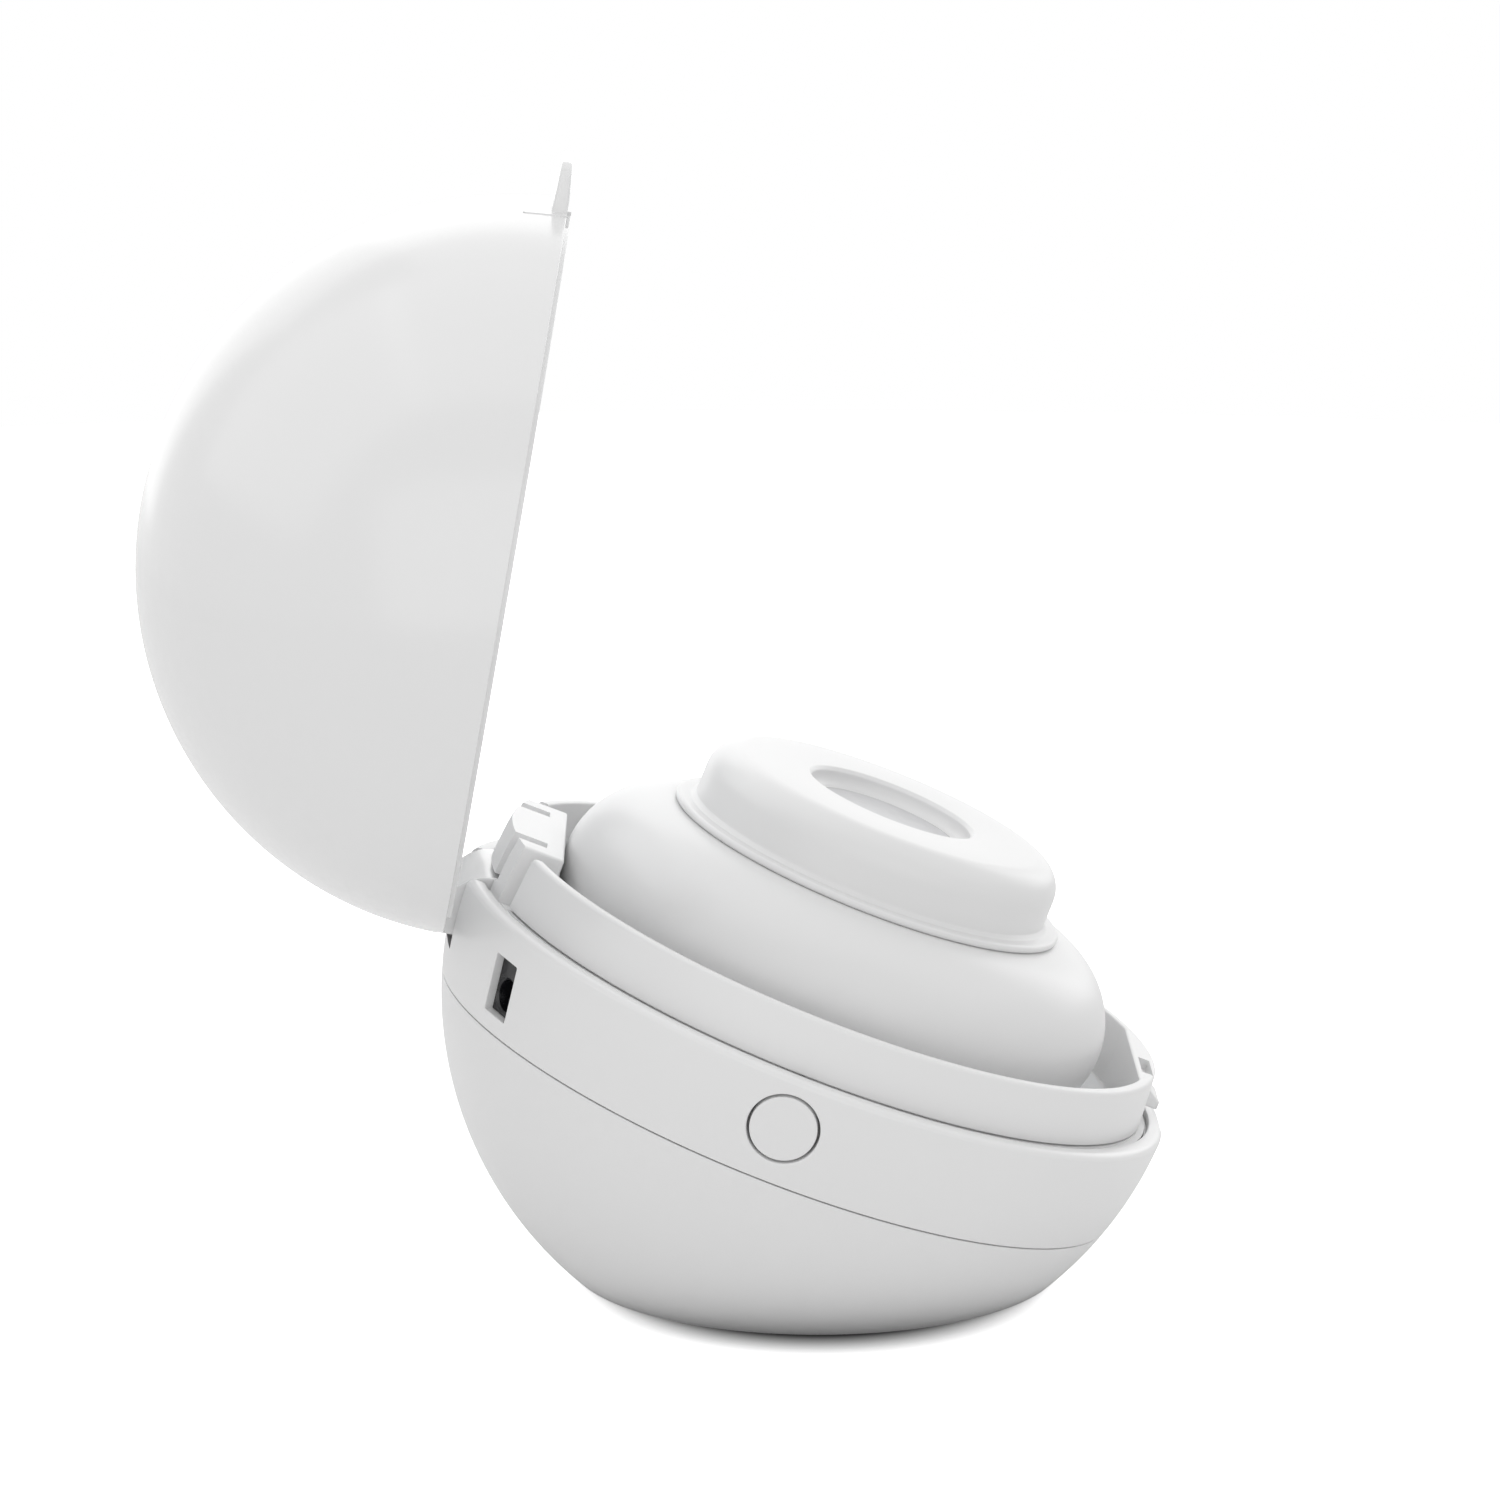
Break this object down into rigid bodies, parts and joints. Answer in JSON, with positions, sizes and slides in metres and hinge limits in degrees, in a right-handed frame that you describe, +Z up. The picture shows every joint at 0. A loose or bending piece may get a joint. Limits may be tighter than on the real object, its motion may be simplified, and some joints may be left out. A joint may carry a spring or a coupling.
{
  "type": "pacifier steriliser case",
  "caption": "Ball-shaped steriliser case on a flat foot, with a hinged half-ball lid, push button, charging inlet, inner chamber and lift-off inner cover.",
  "frame": {"origin": "centre of the flat foot, on the surface that the case stands on", "axes": "+Z up, front with the thumb tab's catch towards -Y, hinge at the back towards +Y, push button and charging inlet on the -X side; lid open at rest"},
  "size_m": [0.082, 0.1112, 0.1227],
  "materials": {
    "shell_gloss": "moulded gloss, near white",
    "lid_gloss": "polished moulded gloss, near white",
    "inner_satin": "fine satin moulding",
    "liner_white": "smooth white reflecting liner",
    "cover_silicone": "soft satin white",
    "insert_grey": "smooth pale grey",
    "button_satin": "satin",
    "foot_rubber": "soft matt",
    "window_glass": "polished",
    "lamp_ceramic": "ceramic lamp packages",
    "board_green": "solder resist",
    "screw_steel": "turned steel",
    "battery_wrap": "foil pouch",
    "tray_dark": "matt",
    "inlet_black": "matt black",
    "contact_metal": "plated",
    "switch_grey": "matt"
  },
  "bodies": {
    "base": {"lower_shell": "shell_gloss", "foot_pad": "foot_rubber", "band_shell": "shell_gloss", "collar": "inner_satin", "chamber_bowl": "inner_satin", "quartz_window": "window_glass", "uvc_lamps": "lamp_ceramic", "main_board": "board_green", "board_screws": "screw_steel", "battery": "battery_wrap", "battery_tray": "tray_dark", "charging_inlet": "inlet_black", "inlet_contact": "contact_metal", "push_switch": "switch_grey", "switch_board": "board_green", "lid_sensor": "inlet_black", "hinge_pin": "screw_steel", "deck_screws": "screw_steel"},
    "lid": {"lid_shell": "lid_gloss", "lid_frame": "inner_satin", "thumb_tab": "lid_gloss", "lid_reflector": "liner_white", "interlock_peg": "inner_satin"},
    "button": {"button_cap": "button_satin", "switch_plunger": "inlet_black"},
    "cover": {"cover_dome": "cover_silicone", "cover_cap": "cover_silicone", "cap_insert": "insert_grey"}
  },
  "joints": [
    {"name": "lid_hinge", "type": "hinge", "parent": "base", "child": "lid", "pos_m": [0, 0.03598, 0.04091], "axis": [1, 0, 0], "range_deg": [0, 101.2]},
    {"name": "button_press", "type": "slide", "parent": "base", "child": "button", "axis": [0.9884, -0.1068, 0.1076], "range_m": [0, 0.0006], "stiffness_N_per_m": 1500, "springref_m": -0.0003},
    {"name": "cover_lift", "type": "slide", "parent": "base", "child": "cover", "axis": [0, -0.3633, 0.9317], "range_m": [0, 0.009]}
  ]
}
